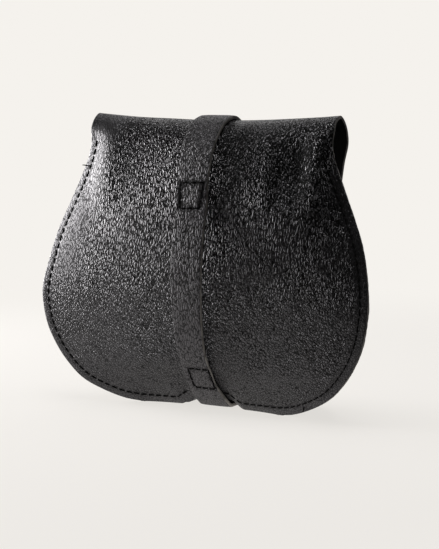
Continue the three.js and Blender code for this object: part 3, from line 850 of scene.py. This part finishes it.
hand = np.random.default_rng(11)
back_stitches = stitch_row(row_line - row_outward * SEAM_SINK, row_outward, hand, under_strap)
for x, z, way, length in SEAM_ENDS:
    row, side = place_behind(np.array([x]), np.array([z]))
    start = (body_points(row, side) + body_normals(row, side) * 0.1 * MM)[0]
    back_stitches.append(loose_end(start, way, length, len(back_stitches)))
seam_outward = body_normals(*seam_stitch_places)
front_stitches = stitch_row(front_seam + seam_outward * SEAM_SINK, -seam_outward, hand, under_strap)
for name, stitches in (("back", back_stitches), ("front", front_stitches)):
    joined_tubes(f"seam_stitches_{name}", stitches, thread_black)

for name, sides in square_lines.items():
    stitches = [made for line, outward in sides
                for made in stitch_row(line - outward * SQUARE_SINK, outward, hand)]
    if name == "upper":
        x, z, way, length = SQUARE_END
        places, _ = on_strap(np.array([x]), np.array([z]))
        stitches.append(loose_end(places[0], way, length, 5))
    joined_tubes(f"{name}_square_stitches", stitches, thread_black)

# ---- Studio ----------------------------------------------------------------------------------
# A plain pale floor that runs out into the same pale background. Softboxes light the pouch from
# the left and from above, and weaker ones from the front, from behind and from the right. The
# camera stands to the right of the pouch and a little above it.

PALE = (0.913, 0.887, 0.847, 1)  # the background and the unlit floor
SWEEP_START, SWEEP_END = 0.22, 0.5  # where the floor turns into the background, from the pouch
POOL_MIDDLE = (-0.09, -0.02, 0.0)  # of the patch of floor that throws light at the leather
POOL_START, POOL_END = 0.13, 0.29  # where that patch dies away, from its middle
ROOM = 0.012  # light of the dim room in front, which the leather mirrors
MIDDLE = (0, 0, 0.07)  # of the pouch, where the lights point
WARM = (1, 0.985, 0.98)
SOFTBOXES = [
    # name, place, width and height, watts
    ("side_softbox", (-0.6, -0.01, 0.14), (0.3, 0.3), 4.0),
    ("left_softbox", (-0.76, -0.27, 0.2), (0.26, 0.4), 1.4),
    ("front_softbox", (-0.69, -0.40, 0.15), (0.25, 0.25), 0.2),
    ("back_softbox", (-0.34, 0.59, 0.49), (0.6, 0.4), 1.0),
    ("edge_card", (0.55, 0.25, 0.2), (0.3, 0.3), 0.6),
    ("top_softbox", (0.0, -0.03, 1.07), (0.6, 0.6), 4.3),
]
CAMERA_AT = np.array([396.5, -745.3, 164.9]) * MM
CAMERA_TARGET = np.array([1.6, -2.6, 66.8]) * MM


def make_floor():
    """A round sheet of pale paper, its middle catching soft shadows."""
    mesh = bpy.data.meshes.new("studio_floor")
    count, radius, height = 96, 6.0, -0.1 * MM
    ring = [(radius * math.cos(angle), radius * math.sin(angle), height)
            for angle in (2 * math.pi * k / count for k in range(count))]
    mesh.from_pydata(ring, [], [list(range(count))])
    floor = bpy.data.objects.new("studio_floor", mesh)
    bpy.context.scene.collection.objects.link(floor)
    material, shader, node = new_material("pale_paper")
    links = material.node_tree.links
    socket(shader, "Base Color", (0.24, 0.236, 0.23, 1))
    socket(shader, "Roughness", 0.9)
    socket(shader, "Specular IOR Level", 0.0)
    socket(shader, "Emission Color", PALE)
    socket(shader, "Emission Strength", 0.775)
    # The camera sees the background's glow beyond the sweep. The leather sees the lit paper in
    # one patch only, and the dim room beyond it.
    place = node("TexCoord").outputs["Object"]
    out = node("VectorMath", {0: place}, operation="LENGTH").outputs["Value"]
    seen = node("LightPath").outputs["Is Camera Ray"]
    glow = node("Emission", {"Color": PALE, "Strength": 1.0}).outputs[0]
    dim = node("Emission", {"Color": PALE, "Strength": ROOM}).outputs[0]
    beyond = node("MixShader", {0: seen, 1: dim, 2: glow}).outputs[0]
    off = node("VectorMath", {0: place, 1: POOL_MIDDLE}, operation="DISTANCE").outputs["Value"]
    share = tinted(node, seen, remapped(node, off, POOL_START, POOL_END, 0.0, 1.0),
                   remapped(node, out, SWEEP_START, SWEEP_END, 0.0, 1.0))
    both = node("MixShader", {0: share, 1: shader.outputs[0], 2: beyond}).outputs[0]
    links.new(both, material.node_tree.nodes["Material Output"].inputs["Surface"])
    mesh.materials.append(material)


def soft_light(name, location, size, power):
    """A softbox that points at the pouch."""
    light = bpy.data.lights.new(name, "AREA")
    light.shape = "RECTANGLE"
    light.size, light.size_y = size
    light.energy = power
    light.color = WARM
    lamp = bpy.data.objects.new(name, light)
    lamp.location = location
    way = np.array(MIDDLE) - np.array(location)
    lamp.rotation_euler = Vector(way).to_track_quat("-Z", "Y").to_euler()
    bpy.context.scene.collection.objects.link(lamp)


def make_world():
    """Pale to the eye, and a dim room to the leather."""
    world = bpy.data.worlds.new("studio")
    world.use_nodes = True
    nodes, links = world.node_tree.nodes, world.node_tree.links
    seen = nodes["Background"]
    seen.inputs["Color"].default_value = PALE
    room = nodes.new("ShaderNodeBackground")
    room.inputs["Color"].default_value = (1.0, 0.98, 0.95, 1)
    room.inputs["Strength"].default_value = ROOM
    ray = nodes.new("ShaderNodeLightPath")
    pick = nodes.new("ShaderNodeMixShader")
    links.new(ray.outputs["Is Camera Ray"], pick.inputs[0])
    links.new(room.outputs[0], pick.inputs[1])
    links.new(seen.outputs[0], pick.inputs[2])
    links.new(pick.outputs[0], nodes["World Output"].inputs["Surface"])
    bpy.context.scene.world = world


make_floor()
make_world()
for softbox in SOFTBOXES:
    soft_light(*softbox)

camera = bpy.data.objects.new("camera", bpy.data.cameras.new("camera"))
bpy.context.scene.collection.objects.link(camera)
camera.data.sensor_width = 36.0
camera.data.lens = 111.06
camera.location = CAMERA_AT
camera.rotation_euler = Vector(CAMERA_TARGET - CAMERA_AT).to_track_quat("-Z", "Y").to_euler()
camera.data.clip_start, camera.data.clip_end = 0.05, 20.0
bpy.context.scene.camera = camera
bpy.context.scene.view_settings.view_transform = "Standard"
